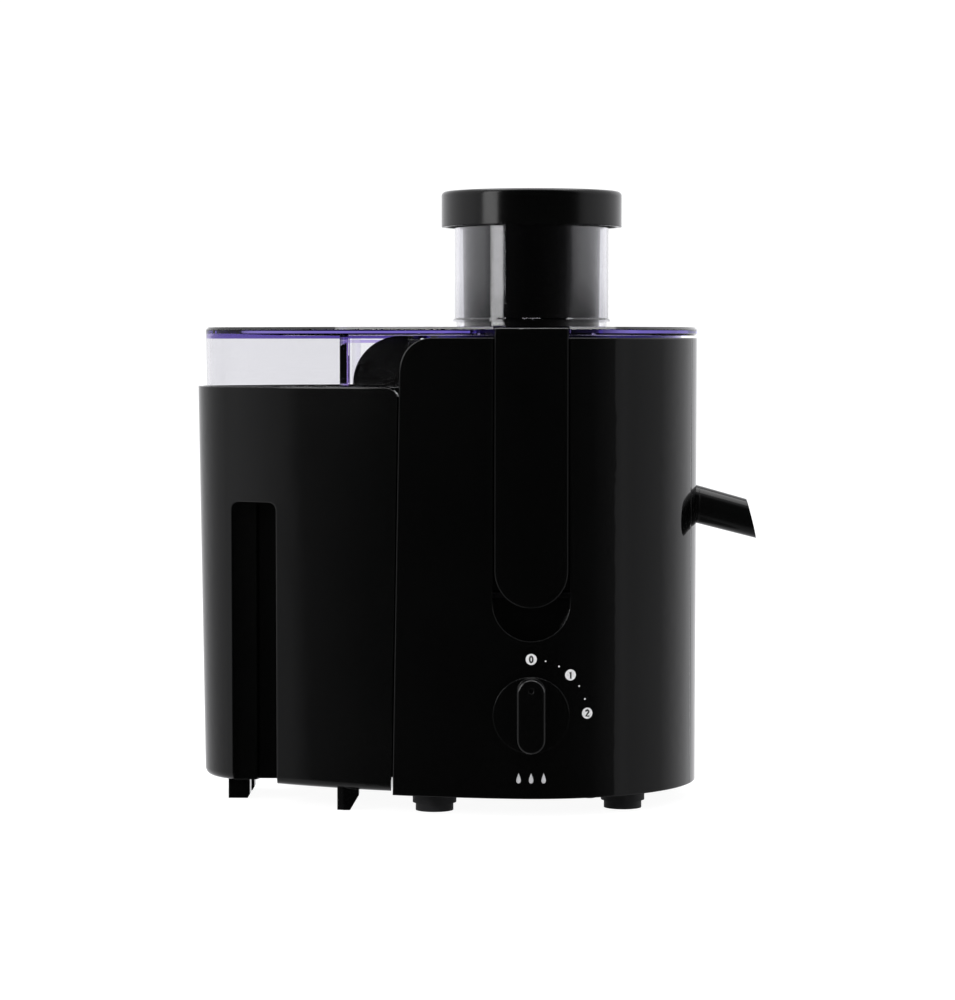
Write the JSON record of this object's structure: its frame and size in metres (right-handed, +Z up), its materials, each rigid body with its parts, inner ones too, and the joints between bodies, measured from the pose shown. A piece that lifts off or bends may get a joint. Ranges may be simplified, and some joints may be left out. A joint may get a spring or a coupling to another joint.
{
  "type": "centrifugal juicer",
  "caption": "Centrifugal juicer with a wide feed chute under a clear lid, two side latches, a pouring spout, a speed knob and a pulp container that slides out.",
  "frame": {"origin": "middle of the footprint on the table", "axes": "+Z up, front faces -Y, pulp container on the -X side"},
  "size_m": [0.2888, 0.1874, 0.3124],
  "materials": {
    "housing_shell": "high-gloss black ABS",
    "container_shell": "high-gloss black ABS",
    "latch_shell": "high-gloss black ABS",
    "cap_shell": "high-gloss black ABS",
    "pusher_shell": "smooth dark moulding",
    "knob_shell": "satin black with polished rim",
    "collector_shell": "smooth black moulding",
    "clear_lid": "clear polycarbonate with a violet tint at its edges",
    "spout_shell": "glossy black",
    "inner_plastic": "fine grained black",
    "pale_plastic": "natural nylon",
    "foot_rubber": "matt rubber",
    "steel": "bright steel",
    "pin_steel": "blackened steel pins",
    "mesh_steel": "perforated stainless sheet",
    "fastener": "zinc-plated screws",
    "laminations": "stacked electrical steel",
    "copper": "enamelled copper wire",
    "bracket": "die-cast",
    "carbon": "pressed graphite",
    "capacitor_case": "moulded case"
  },
  "bodies": {
    "housing": {"front_housing": "housing_shell", "rear_housing": "housing_shell", "juice_collector": "collector_shell", "base_plate": "inner_plastic", "top_deck": "inner_plastic", "brush_holders": "inner_plastic", "rotary_switch": "inner_plastic", "lid_switch": "inner_plastic", "cord_clamp": "pale_plastic", "terminal_block": "pale_plastic", "foot_front_left": "foot_rubber", "foot_front_right": "foot_rubber", "foot_rear_left": "foot_rubber", "foot_rear_right": "foot_rubber", "rubber_mounts": "foot_rubber", "shaft_seal": "foot_rubber", "cord_gland": "foot_rubber", "bearing_upper": "steel", "bearing_lower": "steel", "interlock_spring": "steel", "front_latch_pin": "pin_steel", "rear_latch_pin": "pin_steel", "base_screws": "fastener", "motor_bolts": "fastener", "stator_core": "laminations", "field_coils": "copper", "motor_bracket_upper": "bracket", "motor_bracket_lower": "bracket", "carbon_brushes": "carbon", "capacitor": "capacitor_case"},
    "rotor": {"motor_shaft": "steel", "rotor_core": "laminations", "commutator": "copper", "armature_windings": "copper", "cooling_fan": "inner_plastic", "filter_basket": "mesh_steel", "basket_rim": "inner_plastic", "basket_hub": "inner_plastic", "grater_disc": "mesh_steel", "drive_coupling": "pale_plastic"},
    "lid": {"lid": "clear_lid"},
    "pusher": {"pusher": "pusher_shell", "pusher_cap": "cap_shell"},
    "front_latch": {"front_latch": "latch_shell"},
    "rear_latch": {"rear_latch": "latch_shell"},
    "container": {"pulp_container": "container_shell"},
    "spout": {"spout": "spout_shell"},
    "knob": {"speed_knob": "knob_shell", "switch_spindle": "steel"},
    "interlock": {"interlock_rod": "pale_plastic"}
  },
  "joints": [
    {"name": "rotor_spin", "type": "hinge", "parent": "housing", "child": "rotor", "pos_m": [0.0281, 0.0053, 0.1], "axis": [0, 0, 1], "continuous": true},
    {"name": "lid_lift", "type": "slide", "parent": "housing", "child": "lid", "axis": [0, 0, 1], "range_m": [0, 0.04]},
    {"name": "pusher_slide", "type": "slide", "parent": "lid", "child": "pusher", "axis": [0, 0, 1], "range_m": [0, 0.1]},
    {"name": "front_latch_swing", "type": "hinge", "parent": "housing", "child": "front_latch", "pos_m": [0.0281, -0.0756, 0.11], "axis": [1, 0, 0], "range_deg": [0, 64]},
    {"name": "rear_latch_swing", "type": "hinge", "parent": "housing", "child": "rear_latch", "pos_m": [0.0281, 0.0862, 0.11], "axis": [-1, 0, 0], "range_deg": [0, 64]},
    {"name": "interlock_rise", "type": "slide", "parent": "housing", "child": "interlock", "axis": [0, 0, 1], "range_m": [0, 0.003]},
    {"name": "container_slide", "type": "slide", "parent": "housing", "child": "container", "axis": [-1, 0, 0], "range_m": [0, 0.15]},
    {"name": "spout_pull", "type": "slide", "parent": "housing", "child": "spout", "axis": [0.9659, 0, -0.2588], "range_m": [0, 0.025]},
    {"name": "knob_turn", "type": "hinge", "parent": "housing", "child": "knob", "pos_m": [0.0281, -0.0806, 0.0513], "axis": [0, 1, 0], "range_deg": [0, 90]}
  ],
  "couplings": [
    {"joint": "front_latch_swing", "follows": "lid_lift", "rad_per_m": 27.9},
    {"joint": "rear_latch_swing", "follows": "lid_lift", "rad_per_m": 27.9},
    {"joint": "interlock_rise", "follows": "lid_lift", "ratio": 0.075}
  ]
}
